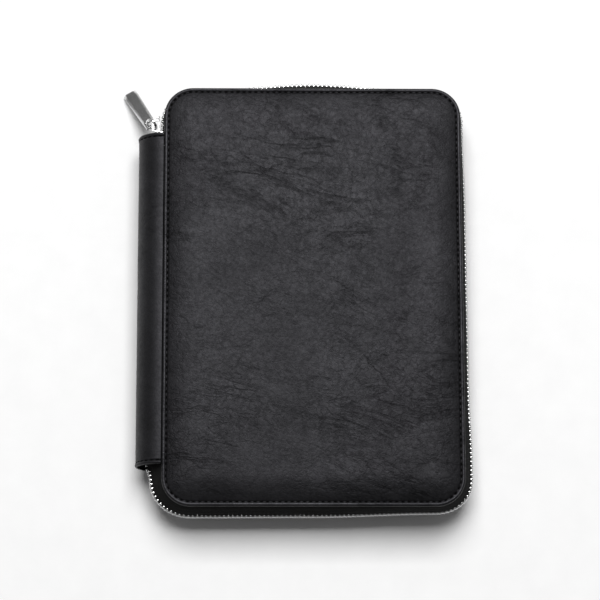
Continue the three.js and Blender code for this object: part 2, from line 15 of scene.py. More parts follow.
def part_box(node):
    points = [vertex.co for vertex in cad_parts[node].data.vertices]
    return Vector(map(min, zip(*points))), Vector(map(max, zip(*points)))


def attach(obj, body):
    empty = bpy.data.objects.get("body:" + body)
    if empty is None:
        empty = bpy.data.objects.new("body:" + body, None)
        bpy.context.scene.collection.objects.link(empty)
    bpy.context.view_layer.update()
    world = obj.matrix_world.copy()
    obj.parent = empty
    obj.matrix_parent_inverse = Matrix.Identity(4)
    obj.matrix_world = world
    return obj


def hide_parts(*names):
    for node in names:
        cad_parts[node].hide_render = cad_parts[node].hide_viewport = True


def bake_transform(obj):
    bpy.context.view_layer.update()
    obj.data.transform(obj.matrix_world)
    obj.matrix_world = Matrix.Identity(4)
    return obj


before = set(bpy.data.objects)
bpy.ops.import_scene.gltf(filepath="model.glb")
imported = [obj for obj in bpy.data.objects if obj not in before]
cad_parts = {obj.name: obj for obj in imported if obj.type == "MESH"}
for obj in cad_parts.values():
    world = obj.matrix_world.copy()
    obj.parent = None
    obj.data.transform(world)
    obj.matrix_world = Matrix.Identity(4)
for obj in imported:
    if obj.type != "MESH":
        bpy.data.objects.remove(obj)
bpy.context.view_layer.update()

MM = 0.001

# Sizes are in millimetres, except where a comment says otherwise.

# Covers. Insets are measured in from the cover's edge, and the wall is (inset, depth) down its side.
WIDTH = 175
HEIGHT = 250
CORNER = 17
THICKNESS = 36
WALL = 5.1
CROWN = 2.2
CROWN_RUN = 16
STITCH_INSET = 2.6
STITCHES_IN_QUARTER = 57
TURN_IN = 5
# The lip's last value is a painted highlight on its colour and gloss; the groove's dark and pale are
# painted shade at each stitch and painted light between stitches.
LIP = {"height": 0.25, "inset": 1.2, "width": 0.75, "drop": 0.95, "round": 1.1, "painted_highlight": 1.15}
GROOVE = {"depth": 0.6, "width": 0.4, "dark": 0.85, "pale": 0.45}
COVER_INSETS = [
    0, 0.12, 0.3, 0.6, 0.95, 1.3, 1.65, 1.95, 2.2, 2.4, 2.6, 2.8, 3.0, 3.3, 3.7, 4.3, 5.1, 6.1,
]
COVER_WALL = [
    (0, 3.5), (0, 4.1), (0.12, 4.6), (0.4, 4.95),
    (0.9, WALL), (2.5, WALL), (TURN_IN, WALL), (TURN_IN + 0.15, WALL - 0.5),
]
HALF_W = WIDTH / 2
HALF_H = HEIGHT / 2
STITCH_RADIUS = CORNER - STITCH_INSET
QUARTER = HALF_H + HALF_W - 2 * CORNER + math.pi / 2 * STITCH_RADIUS
STITCH_PITCH = QUARTER / STITCHES_IN_QUARTER
COVER_STITCH = {"length": 2.2, "radius": 0.52, "dip": 0.5}

# Spine
SPINE_LENGTH = 198
SPINE_SHIFT = -1.2
SPINE_RADIUS = 15.1
SPINE_SKIN = 1.0
SPINE_LINING = 0.5
SPINE_X = -HALF_W - 0.4
SPINE_INSETS = [0, 0.15, 0.4, 0.7, 1.0, 1.3, 1.6, 1.85, 2.05, 2.25, 2.5, 2.8, 3.3, 4.0, 5.2]
HEM_INSET = 2.25
HEM_STITCHES = 13
HEM_STITCH = {"length": 2.6, "radius": 0.34, "dip": 0.45}
MIDDLE = THICKNESS / 2
SPINE_TOP = SPINE_SHIFT + SPINE_LENGTH / 2
SPINE_BOTTOM = SPINE_SHIFT - SPINE_LENGTH / 2
SPINE_HALVES = [
    {
        "name": "front",
        "span": (0, 90),
        "turns": (5, 80),
        "bodies": ("front_cover", "spine_middle"),
        "panels": (1, 2),
    },
    {
        "name": "back",
        "span": (90, 180),
        "turns": (100, 175),
        "bodies": ("spine_middle", "back_cover"),
        "panels": (3,),
    },
]

# Zip: the teeth start past the slider and end short of the end stop, along the chain.
TOOTH_PITCH = 2.57
TEETH_START = 8.4
TEETH_END = 2.2
TOOTH_BAND = 1.7
TAPE_EDGE = MIDDLE - TOOTH_BAND
TAPE_THICKNESS = 0.6
TAPE_TUCK = 2
LOWER_BEND = 10
BULGE = {
    "slider_corner": 1.2,
    "top_middle": 5.8,
    "top_right": 1.3,
    "right_upper": 2.4,
    "right_middle": 2.9,
    "right_lower": 4.2,
    "bottom_right": 1.4,
    "bottom_middle": 3.3,
    "bottom_left": 3.6,
    "spine_corner": 6.3,
    "spine_end": 8.8,
}

# Inside
LINING_THICKNESS = 0.6
PANEL_THICKNESS = 0.7
PANEL_INSETS = [0, 0.2, 0.5, 0.9, 1.4, 1.8, 2.2, 2.8, 3.6, 4.8, 6.5]
PANEL_STITCH = {"length": 2.6, "radius": 0.28, "dip": 0.35}
BAND_THICKNESS = 0.7
FOOT_HALF_WIDTH = 3.4

# Leather: a trace of blue in its black
LEATHER_TINT = (0.93, 0.92, 1)

# Room: metres, watts
FLOOR_REACH = 4.0
FLOOR_DROP = 0.0002
LAMP = {"place": (0.04, 1.1, 2.56), "size": (1.8, 1.6), "power": 82}
WORLD_LEVEL = 0.14


# Meshes

def mesh_object(name, points, faces, materials, sharp=38, face_materials=None):
    """A smooth-shaded object from points in millimetres, with its faces turned outwards."""
    mesh = bpy.data.meshes.new(name)
    mesh.from_pydata((np.asarray(points, float) * MM).tolist(), [], [list(map(int, f)) for f in faces])
    for material in materials:
        mesh.materials.append(material)
    if face_materials is not None:
        mesh.polygons.foreach_set("material_index", face_materials)
    shape = bmesh.new()
    shape.from_mesh(mesh)
    bmesh.ops.recalc_face_normals(shape, faces=shape.faces)
    shape.to_mesh(mesh)
    shape.free()
    mesh.polygons.foreach_set("use_smooth", [True] * len(mesh.polygons))
    mesh.set_sharp_from_angle(angle=math.radians(sharp))
    place = mesh.attributes.new("place", "FLOAT_VECTOR", "POINT")
    co = np.zeros(len(mesh.vertices) * 3, np.float32)
    mesh.vertices.foreach_get("co", co)
    place.data.foreach_set("vector", co)
    obj = bpy.data.objects.new(name, mesh)
    bpy.context.scene.collection.objects.link(obj)
    return obj


def grid_faces(rows, columns, first=0, closed=False):
    """Quads between points stored row by row; closed joins each row's end to its start."""
    faces = []
    for i in range(rows - 1):
        for j in range(columns if closed else columns - 1):
            a, b = first + i * columns + j, first + i * columns + (j + 1) % columns
            faces.append((a, b, b + columns, a + columns))
    return faces


def grid_rim(rows, columns):
    """The places of a grid's outermost points, in order round it."""
    rim = list(range(columns))
    rim += [columns * i + columns - 1 for i in range(1, rows)]
    rim += [columns * (rows - 1) + k for k in range(columns - 2, -1, -1)]
    rim += [columns * i for i in range(rows - 2, 0, -1)]
    return rim


def spread(low, high, insets, count):
    """Places from low to high: at the given insets from both ends, and count places evenly between."""
    insets = np.array(insets)
    inner = np.linspace(low + insets[-1], high - insets[-1], count)
    return np.concatenate([low + insets[:-1], inner, (high - insets[:-1])[::-1]])


def tube(loops, capped=True):
    """Points and faces of closed loops joined in a row, with flat ends."""
    columns = len(loops[0])
    points = np.concatenate([np.asarray(loop, float) for loop in loops])
    faces = grid_faces(len(loops), columns, closed=True)
    if capped:
        faces.append(tuple(range(columns)))
        faces.append(tuple(range(len(points) - columns, len(points))))
    return points, faces


def ring_tube(loops):
    """Points and faces of closed loops joined in a ring."""
    points, faces = tube(loops, capped=False)
    columns = len(loops[0])
    last = len(points) - columns
    faces += [(last + k, last + (k + 1) % columns, (k + 1) % columns, k) for k in range(columns)]
    return points, faces


def joined(shapes):
    """One point list and one face list out of several."""
    points, faces, count = [], [], 0
    for shape_points, shape_faces in shapes:
        points.append(np.asarray(shape_points, float))
        faces += [tuple(k + count for k in face) for face in shape_faces]
        count += len(shape_points)
    return np.concatenate(points), faces


def smooth_noise(points, scale, seed=0.0):
    """Noise in -1..1 at each point, with features about scale millimetres wide."""
    return np.array([noise.noise(Vector(p) / scale + Vector((seed, seed, seed))) for p in points])


def bump_at(distance, centre, width):
    """A smooth rise to 1 at a distance, falling off over the width."""
    return np.exp(-(((distance - centre) / width) ** 2))


def edge_round(distance, radius):
    """How far a rounded edge has fallen: 0 beyond the radius, 1 at the edge."""
    return 1 - np.sqrt(1 - np.clip(1 - distance / radius, 0, 1) ** 2)


# Materials

def new_material(name):
    material = bpy.data.materials.new(name)
    material.use_nodes = True
    nodes = material.node_tree.nodes
    return material, nodes, material.node_tree.links, nodes["Principled BSDF"]


def coordinates(nodes, links, use_place, stretch=(1, 1, 1), turn=0, origin=(0, 0, 0)):
    """Positions in metres on the piece at rest. A pattern grows by stretch along axes turned about Z."""
    if use_place:
        source = nodes.new("ShaderNodeAttribute")
        source.attribute_name = "place"
        output = source.outputs["Vector"]
    else:
        output = nodes.new("ShaderNodeTexCoord").outputs["Object"]
    mapping = nodes.new("ShaderNodeMapping")
    mapping.vector_type = "TEXTURE"
    mapping.inputs["Location"].default_value = origin
    mapping.inputs["Rotation"].default_value = (0, 0, math.radians(turn))
    mapping.inputs["Scale"].default_value = stretch
    links.new(output, mapping.inputs["Vector"])
    return mapping.outputs["Vector"]


def noise_node(nodes, links, vector, scale, detail=4, roughness=0.55, distortion=0.0):
    node = nodes.new("ShaderNodeTexNoise")
    node.inputs["Scale"].default_value = scale
    node.inputs["Detail"].default_value = detail
    node.inputs["Roughness"].default_value = roughness
    node.inputs["Distortion"].default_value = distortion
    links.new(vector, node.inputs["Vector"])
    return node.outputs["Fac"]


def ramp(nodes, links, value, stops):
    """A colour ramp; each stop is (position, grey or colour)."""
    node = nodes.new("ShaderNodeValToRGB")
    elements = node.color_ramp.elements
    while len(elements) < len(stops):
        elements.new(0.5)
    for element, (position, colour) in zip(elements, stops):
        element.position = position
        rgb = (colour,) * 3 if isinstance(colour, (int, float)) else colour
        element.color = (*rgb, 1)
    links.new(value, node.inputs["Fac"])
    return node.outputs["Color"]


def arithmetic(nodes, links, operation, a, b):
    node = nodes.new("ShaderNodeMath")
    node.operation = operation
    for socket, value in zip(node.inputs, (a, b)):
        if isinstance(value, (int, float)):
            socket.default_value = value
        else:
            links.new(value, socket)
    return node.outputs["Value"]


def multiply_colour(nodes, links, a, b):
    node = nodes.new("ShaderNodeMix")
    node.data_type = "RGBA"
    node.blend_type = "MULTIPLY"
    node.inputs["Factor"].default_value = 1
    links.new(a, node.inputs["A"])
    links.new(b, node.inputs["B"])
    return node.outputs["Result"]


def bump(nodes, links, shader, heights):
    """Chains bump nodes; each height is (value, distance in metres, strength)."""
    normal = None
    for value, distance, strength in heights:
        node = nodes.new("ShaderNodeBump")
        node.inputs["Distance"].default_value = distance
        node.inputs["Strength"].default_value = strength
        links.new(value, node.inputs["Height"])
        if normal is not None:
            links.new(normal, node.inputs["Normal"])
        normal = node.outputs["Normal"]
    links.new(normal, shader.inputs["Normal"])


def veins(nodes, links, vector, scale, width, detail=5, distortion=0.3):
    """Thin wandering lines: 1 on a line, falling to 0 beside it."""
    value = noise_node(nodes, links, vector, scale, detail, 0.58, distortion)
    return ramp(nodes, links, value, [(0.5 - width, 0), (0.5, 1), (0.5 + width, 0)])


def painted_seam_light(nodes):
    """The seam attribute: above 0 where a highlight is painted on, below 0 where shade is painted on."""
    node = nodes.new("ShaderNodeAttribute")
    node.attribute_name = "seam"
    return node.outputs["Fac"]


def dent(nodes, links, use_place, place, size):
    """1 in the middle of a rubbed patch and 0.2 away from it; place and size in metres."""
    vector = coordinates(nodes, links, use_place, (*size, 1), -20, (*place, 0))
    length = nodes.new("ShaderNodeVectorMath")
    length.operation = "LENGTH"
    links.new(vector, length.inputs[0])
    return ramp(nodes, links, length.outputs["Value"], [(0.2, 1), (1, 0.2)])


def leather_folds(nodes, links, use_place, plain, patches):
    """The wrinkles and folds: each a pattern of lines, where it shows and how dark it is."""
    slanted = coordinates(nodes, links, use_place, (3.4, 1, 1), -21)
    level = coordinates(nodes, links, use_place, (2.6, 1, 1), -8)
    worn_patch_and_lip_highlight = dent(nodes, links, use_place, (-0.026, 0.064), (0.05, 0.03))
    often = ramp(nodes, links, patches, [(0.36, 0.5), (0.6, 1)])
    rarely = ramp(nodes, links, patches, [(0.44, 0.15), (0.62, 1)])
    return [
        (veins(nodes, links, plain, 80, 0.05), often, 0.22),
        (veins(nodes, links, plain, 230, 0.07), often, 0.2),
        (veins(nodes, links, slanted, 70, 0.055, 4, 0.4), worn_patch_and_lip_highlight, 0.5),
        (veins(nodes, links, level, 44, 0.035, 5, 0.5), rarely, 0.36),
    ]


def leather(name, shade, use_place=True, crease=1.0, roughness=0.38, sheen=0.152):
    """Soft black faux leather: a mottled shade under a fine grain, with wrinkles and folds.

    crease scales the folds, and sheen is how much light its finish mirrors."""
    material, nodes, links, shader = new_material(name)
    plain = coordinates(nodes, links, use_place)
    mottle = noise_node(nodes, links, plain, 26, 5, 0.6, 0.4)
    patches = noise_node(nodes, links, plain, 17, 3)
    grain = noise_node(nodes, links, plain, 1300, 3, 0.6)
    colour = ramp(nodes, links, mottle, [
        (position, tuple(shade * level * tint for tint in LEATHER_TINT))
        for position, level in ((0.3, 0.84), (0.5, 1), (0.7, 1.16))
    ])
    gloss = ramp(nodes, links, mottle, [(0.3, sheen * 0.8), (0.5, sheen), (0.7, sheen * 1.2)])
    shader.inputs["Specular Tint"].default_value = (*LEATHER_TINT, 1)
    fine = ramp(nodes, links, grain, [(0.35, 0.8), (0.65, 1.2)])
    gloss = arithmetic(nodes, links, "MULTIPLY", gloss, fine)
    # The seam attribute scales colour and gloss: a painted highlight on the lip, painted shade and
    # painted light along the stitch groove.
    finish = arithmetic(nodes, links, "ADD", painted_seam_light(nodes), 1)
    colour = multiply_colour(nodes, links, colour, finish)
    gloss = arithmetic(nodes, links, "MULTIPLY", gloss, finish)
    depth = 0
    # Each fold line darkens the colour and the gloss: painted shade in the creases, beside the bump that
    # dents them.
    for line, where, dark in leather_folds(nodes, links, use_place, plain, patches):
        fold = arithmetic(nodes, links, "MULTIPLY", line, where)
        shadow = ramp(nodes, links, fold, [(0, 1), (1, 1 - dark * crease)])
        colour = multiply_colour(nodes, links, colour, shadow)
        gloss = arithmetic(nodes, links, "MULTIPLY", gloss, shadow)
        depth = arithmetic(nodes, links, "ADD", depth, arithmetic(nodes, links, "MULTIPLY", fold, dark))
    links.new(colour, shader.inputs["Base Color"])
    links.new(gloss, shader.inputs["Specular IOR Level"])
    pores = noise_node(nodes, links, plain, 420, 3, 0.6, 0.3)
    rough = ramp(nodes, links, pores, [(0.3, roughness - 0.05), (0.7, roughness + 0.07)])
    links.new(rough, shader.inputs["Roughness"])
    bump(nodes, links, shader, [
        (grain, 0.00005, 0.5),
        (pores, 0.00008, 0.5),
        (depth, -0.0003 * crease, 0.6),
        (patches, 0.0008, 0.25),
    ])
    return material


def woven(name, shade, thread, use_place=True, roughness=0.9):
    """A plain weave: threads crossing at the given width in metres."""
    material, nodes, links, shader = new_material(name)
    vector = coordinates(nodes, links, use_place)
    heights = []
    for direction in ("X", "Y", "Z"):
        wave = nodes.new("ShaderNodeTexWave")
        wave.bands_direction = direction
        wave.inputs["Scale"].default_value = 0.314 / thread
        wave.inputs["Distortion"].default_value = 0.6
        wave.inputs["Detail"].default_value = 1
        links.new(vector, wave.inputs["Vector"])
        heights.append(wave.outputs["Fac"])
    level = arithmetic(nodes, links, "MULTIPLY", heights[0], heights[1])
    upright = arithmetic(nodes, links, "MULTIPLY", heights[1], heights[2])
    weave = arithmetic(nodes, links, "MAXIMUM", level, upright)
    fuzz = noise_node(nodes, links, vector, 900, 3)
    mixed = arithmetic(nodes, links, "ADD", weave, fuzz)
    colour = ramp(nodes, links, mixed, [(0.3, shade * 0.55), (0.9, shade * 1.35)])
    links.new(colour, shader.inputs["Base Color"])
    shader.inputs["Roughness"].default_value = roughness
    shader.inputs["Specular IOR Level"].default_value = 0.15
    bump(nodes, links, shader, [(weave, thread * 0.35, 0.7), (fuzz, 0.00004, 0.4)])
    return material


def thread_material(name, shade):
    material, nodes, links, shader = new_material(name)
    vector = coordinates(nodes, links, True, turn=35)
    twist = noise_node(nodes, links, vector, 2600, 2)
    colour = ramp(nodes, links, twist, [(0.3, shade * 0.6), (0.7, shade * 1.5)])
    links.new(colour, shader.inputs["Base Color"])
    shader.inputs["Roughness"].default_value = 0.75
    shader.inputs["Specular IOR Level"].default_value = 0.02
    bump(nodes, links, shader, [(twist, 0.00008, 0.8)])
    return material


def plated(name, shade, roughness, use_place=True, brushed=(1, 1, 1), turn=0):
    """Plated metal with a faint brushed grain and handling marks."""
    material, nodes, links, shader = new_material(name)
    lines = coordinates(nodes, links, use_place, brushed, turn)
    plain = coordinates(nodes, links, use_place)
    grain = noise_node(nodes, links, lines, 900, 4, 0.6)
    marks = noise_node(nodes, links, plain, 260, 4, 0.6)
    links.new(ramp(nodes, links, marks, [(0.3, shade * 0.9), (0.7, shade)]), shader.inputs["Base Color"])
    links.new(ramp(nodes, links, grain, [(0.3, roughness * 0.75), (0.7, roughness * 1.3)]),
              shader.inputs["Roughness"])
    shader.inputs["Metallic"].default_value = 1
    bump(nodes, links, shader, [(grain, 0.00001, 0.35)])
    return material


def paper_material():
    """Stacked sheets: fine level lines on the sides, a soft tooth on the top sheet."""
    material, nodes, links, shader = new_material("writing_paper")
    levels = coordinates(nodes, links, False, (2000, 2000, 1))
    plain = coordinates(nodes, links, False)
    sheets = noise_node(nodes, links, levels, 5200, 2, 0.7)
    tooth = noise_node(nodes, links, plain, 1500, 4, 0.6)
    fibres = ramp(nodes, links, tooth, [(0.3, 0.95), (0.7, 1)])
    edges = ramp(nodes, links, sheets, [(0.35, (0.68, 0.66, 0.61)), (0.5, (0.83, 0.81, 0.77))])
    links.new(multiply_colour(nodes, links, edges, fibres), shader.inputs["Base Color"])
    shader.inputs["Roughness"].default_value = 0.85
    bump(nodes, links, shader, [(sheets, 0.00008, 0.5), (tooth, 0.00003, 0.3)])
    return material


def speckled(name, shade, scale, roughness):
    """Board and foam: a mottled, speckled surface."""
    material, nodes, links, shader = new_material(name)
    plain = coordinates(nodes, links, False)
    flecks = noise_node(nodes, links, plain, scale, 5, 0.7)
    links.new(ramp(nodes, links, flecks, [(0.3, tuple(0.75 * c for c in shade)), (0.7, shade)]),
              shader.inputs["Base Color"])
    shader.inputs["Roughness"].default_value = roughness
    bump(nodes, links, shader, [(flecks, 0.0001, 0.5)])
    return material


COVER_LEATHER = leather("cover_leather", 0.009)
SPINE_LEATHER = leather("spine_leather", 0.009, crease=0.5, roughness=0.5, sheen=0.33)
POCKET_LEATHER = leather("pocket_leather", 0.02, crease=0.3)
THREAD = thread_material("black_thread", 0.0018)
LINING = woven("lining_weave", 0.021, 0.0005)
LINING_FLAT = woven("lining_weave_flat", 0.021, 0.0005, use_place=False)
TAPE = woven("zip_tape_weave", 0.006, 0.0006)
BINDING = woven("binding_weave", 0.015, 0.0006, use_place=False)
ELASTIC = woven("elastic_weave", 0.018, 0.0008)
TOOTH_METAL = plated("tooth_metal", 0.8, 0.2)
STOP_METAL = plated("stop_metal", 0.75, 0.25, use_place=False)
PULL_METAL = plated("pull_metal", 0.78, 0.2, use_place=False, brushed=(6, 1, 1), turn=119)
LINK_METAL = plated("link_metal", 0.82, 0.14)
PAPER = paper_material()
GREYBOARD = speckled("greyboard", (0.4, 0.38, 0.34), 700, 0.9)


# Covers

def cover_lines(half):
    """Grid lines across a cover: close together at its edges, a third of a stitch apart inside."""
    steps = round(2 * (half - COVER_INSETS[-1]) / (STITCH_PITCH / 3))
    return spread(-half, half, COVER_INSETS, steps + 1)


def cover_place(x, y):
    """Moves grid points onto the rounded cover; gives x, y, the inset and the outward direction."""
    core_x, core_y = HALF_W - CORNER, HALF_H - CORNER
    across, up = np.abs(x) - core_x, np.abs(y) - core_y
    in_corner = (across > 0) & (up > 0)
    reach = np.maximum(across, up)
    safe = np.maximum(reach, 1e-9)
    angle = np.where(across >= up, math.pi / 4 * up / safe, math.pi / 2 - math.pi / 4 * across / safe)
    new_x = np.where(in_corner, core_x + reach * np.cos(angle), np.abs(x)) * np.sign(x)
    new_y = np.where(in_corner, core_y + reach * np.sin(angle), np.abs(y)) * np.sign(y)
    inset = CORNER - reach
    side = across - up > 0
    out_x = np.where(in_corner, np.cos(angle), side * 1.0) * np.sign(x)
    out_y = np.where(in_corner, np.sin(angle), ~side * 1.0) * np.sign(y)
    return new_x, new_y, inset, out_x, out_y


def stitch_distance(x, y):
    """Distance along the stitch line from the middle of the long side, the same in each quarter."""
    core_x, core_y = HALF_W - CORNER, HALF_H - CORNER
    across, up = np.abs(x) - core_x, np.abs(y) - core_y
    corner = core_y + STITCH_RADIUS * np.arctan2(np.maximum(up, 0), np.maximum(across, 1e-9))
    top = core_y + math.pi / 2 * STITCH_RADIUS + core_x - np.abs(x)
    long_side = np.abs(y)
    in_corner = (across > 0) & (up > 0)
    return np.where(in_corner, corner, np.where(across > up, long_side, top))


def stitch_pull(along):
    """How hard the thread pulls the skin in: 1 in the middle of a stitch, 0 between two stitches."""
    return 0.5 - 0.5 * np.cos(2 * math.pi * along / STITCH_PITCH)


def cover_drop(inset, along):
    """How far the outer face lies below the cover's flat middle."""
    crown = CROWN * (1 - np.clip((inset - STITCH_INSET) / CROWN_RUN, 0, 1)) ** 2
    roll = LIP["height"] * bump_at(inset, LIP["inset"], LIP["width"])
    edge = LIP["drop"] * edge_round(inset, LIP["round"])
    groove = GROOVE["depth"] * bump_at(inset, STITCH_INSET, GROOVE["width"]) * stitch_pull(along)
    return crown - roll + edge + groove


def cover_seam(inset, along):
    """Painted light and shade round the edge: a painted highlight on the lip, painted shade at each
    stitch and painted light between stitches.
    """
    # A painted highlight along the lip.
    worn_patch_and_lip_highlight = LIP["painted_highlight"] * bump_at(inset, 1.05, 0.7)
    dark, pale = GROOVE["dark"], GROOVE["pale"]
    # Painted shade in the groove at each stitch, and painted light between stitches.
    painted_stitch_shade = (dark + pale) * stitch_pull(along) - pale
    return worn_patch_and_lip_highlight - painted_stitch_shade * bump_at(inset, STITCH_INSET, GROOVE["width"])


def padded_cover(name, front, seed):
    """The padded skin with its rolled lip, side wall and turned-in hem."""
    lines_x, lines_y = cover_lines(HALF_W), cover_lines(HALF_H)
    x, y = (a.ravel() for a in np.meshgrid(lines_x, lines_y))
    x, y, inset, out_x, out_y = cover_place(x, y)
    flat = np.column_stack([x, y, np.zeros_like(x)])
    softness = np.clip((inset - 3) / 8, 0, 1)
    waves = softness * (0.16 * smooth_noise(flat, 38, seed) + 0.05 * smooth_noise(flat, 11, seed))
    along = stitch_distance(x, y)
    drop = cover_drop(inset, along) + np.maximum(waves, -0.15) + 0.15 * softness
    rows, columns = len(lines_y), len(lines_x)
    faces = grid_faces(rows, columns)
    rim = grid_rim(rows, columns)
    points = [np.column_stack([x, y, drop])]
    previous = rim
    count = len(x)
    for rim_inset, depth in COVER_WALL:
        loop = np.column_stack([
            x[rim] - out_x[rim] * rim_inset,
            y[rim] - out_y[rim] * rim_inset,
            np.full(len(rim), depth),
        ])
        points.append(loop)
        current = list(range(count, count + len(rim)))
        faces += [(previous[k], previous[(k + 1) % len(rim)], current[(k + 1) % len(rim)], current[k])
                  for k in range(len(rim))]
        previous = current
        count += len(rim)
    faces.append(tuple(previous))
    points = np.concatenate(points)
    if front:
        points[:, 2] = THICKNESS - points[:, 2]
    cover = mesh_object(name, points, faces, [COVER_LEATHER], sharp=60)
    # The seam attribute holds the painted highlight on the lip and the painted shade and light along the
    # stitch groove.
    seam = np.zeros(len(points))
    seam[:len(inset)] = cover_seam(inset, along)
    cover.data.attributes.new("seam", "FLOAT", "POINT").data.foreach_set("value", seam)
    return cover


def thread_shape(centre, along, up, length, radius, dip):
    """One stitch: a short thread whose ends dip into the skin."""
    along, up = np.asarray(along, float), np.asarray(up, float)
    side = np.cross(up, along)
    loops = []
    for t in (-1, -0.8, -0.45, 0, 0.45, 0.8, 1):
        thick = radius * math.sqrt(1 - 0.75 * t * t)
        middle = np.asarray(centre, float) + along * (t * length / 2) - up * (dip * t * t)
        loops.append([
            middle + thick * (side * math.cos(a) + up * math.sin(a))
            for a in np.linspace(0, 2 * math.pi, 6, endpoint=False)
        ])
    return tube(loops)


def cover_stitches(name, front):
    """Stitches all round a cover, each a little slanted, as a lockstitch lies."""
    core_x, core_y = HALF_W - CORNER, HALF_H - CORNER
    bend = math.pi / 2 * STITCH_RADIUS
    up = 1 if front else -1
    shapes = []
    for k in range(STITCHES_IN_QUARTER):
        s = (k + 0.5) * STITCH_PITCH
        if s < core_y:
            x, y, heading = HALF_W - STITCH_INSET, s, math.pi / 2
        elif s < core_y + bend:
            angle = (s - core_y) / STITCH_RADIUS
            x = core_x + STITCH_RADIUS * math.cos(angle)
            y = core_y + STITCH_RADIUS * math.sin(angle)
            heading = angle + math.pi / 2
        else:
            x, y, heading = core_x - (s - core_y - bend), HALF_H - STITCH_INSET, math.pi
        drop = cover_drop(np.array(STITCH_INSET), np.array(STITCH_PITCH / 2)) - 0.12
        z = THICKNESS - drop if front else drop
        for sign_x, sign_y in ((1, 1), (-1, 1), (-1, -1), (1, -1)):
            slant = math.radians(9) * sign_x * sign_y
            along = (sign_x * math.cos(heading + slant), sign_y * math.sin(heading + slant), 0)
            centre = (sign_x * x, sign_y * y, z)
            shapes.append(thread_shape(centre, along, (0, 0, up), **COVER_STITCH))
    return mesh_object(name, *joined(shapes), [THREAD])


def build_covers():
    for side, front, seed in (("front", True, 3.0), ("back", False, 8.0)):
        cover = padded_cover(f"{side}_padded_cover", front, seed)
        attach(cover, f"{side}_cover")
        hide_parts(f"{side}_cover_skin", f"{side}_foam_pad", f"{side}_cover_board")
        stitches = cover_stitches(f"{side}_stitching", front)
        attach(stitches, f"{side}_cover")


# Spine

def spine_surface(angles, y, radius, outer):
    """Points of the skin's or the lining's face, one row for each place along the spine."""
    end = np.minimum(y - SPINE_BOTTOM, SPINE_TOP - y)[:, None]
    shape = np.zeros((len(y), len(angles)))
    if outer:
        shape += 0.35 * bump_at(end, 1.0, 0.8) - 0.4 * bump_at(end, HEM_INSET, 0.3)
        shape -= 0.5 * edge_round(end, 0.6)
        place = [(SPINE_RADIUS * a, v, 0) for v in y for a in angles]
        waves = 0.2 * smooth_noise(place, 30, 5.0) + 0.08 * smooth_noise(place, 9, 2.0)
        shape += np.clip((end - 2) / 6, 0, 1) * waves.reshape(shape.shape)
    reach = radius + shape
    x = SPINE_X - reach * np.sin(angles)
    z = MIDDLE + reach * np.cos(angles)
    return np.stack([x, np.repeat(y[:, None], len(angles), 1), z], axis=-1)


def spine_shell(angles, outer_radius, inner_radius, outer):
    """A closed strip of skin or lining between two radii."""
    y = spread(SPINE_BOTTOM, SPINE_TOP, SPINE_INSETS, 120)
    top = spine_surface(angles, y, outer_radius, outer)
    under = spine_surface(angles, y, inner_radius, False)
    loops = [np.concatenate([a, b[::-1]]) for a, b in zip(top, under)]
    return tube(loops)


def hem_stitches(first, last):
    """Stitches along both hems, for the stretch of spine between two angles."""
    shapes = []
    step = math.pi / HEM_STITCHES
    reach = SPINE_RADIUS - 0.08
    for k in range(HEM_STITCHES):
        angle = (k + 0.5) * step
        if not first <= angle < last:
            continue
        up = (-math.sin(angle), 0, math.cos(angle))
        along = (-math.cos(angle), 0, -math.sin(angle))
        for y in (SPINE_BOTTOM + HEM_INSET, SPINE_TOP - HEM_INSET):
            centre = (SPINE_X + reach * up[0], y, MIDDLE + reach * up[2])
            shapes.append(thread_shape(centre, along, up, **HEM_STITCH))
    return shapes


def build_spine():
    """Two halves, each from the spine's middle to a cover: a skin with its hem stitches, and a lining.
    """
    seam = SPINE_RADIUS - SPINE_SKIN
    for half in SPINE_HALVES:
        first, last = (math.radians(angle) for angle in half["span"])
        angles = np.linspace(first, last, 33)
        skin_points, skin_faces = spine_shell(angles, SPINE_RADIUS, seam, True)
        points, faces = joined([(skin_points, skin_faces), *hem_stitches(first, last)])
        slots = [0] * len(skin_faces) + [1] * (len(faces) - len(skin_faces))
        name = half["name"]
        skin = mesh_object(f"{name}_spine_skin", points, faces, [SPINE_LEATHER, THREAD], 60, slots)
        shell = spine_shell(angles, seam, seam - SPINE_LINING, False)
        lining = mesh_object(f"{name}_spine_lining", *shell, [LINING], 60)
        for piece, node, slot in (
            (skin, "spine_skin", "cover_leather"),
            (lining, "spine_lining", "lining"),
        ):
            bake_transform(piece)
            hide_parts(*(f"{node}_{panel}" for panel in half["panels"]))


# Zip

def straight(start, end, *ends):
    """A straight stretch of the zip's way; ends name the chain's bulge at its start and its end."""
    return {"start": start, "end": end, "ends": ends}


def bend(centre, angle, *ends):
    """A quarter turn, clockwise round a centre from an angle in degrees."""
    return {"centre": centre, "angle": angle, "ends": ends}


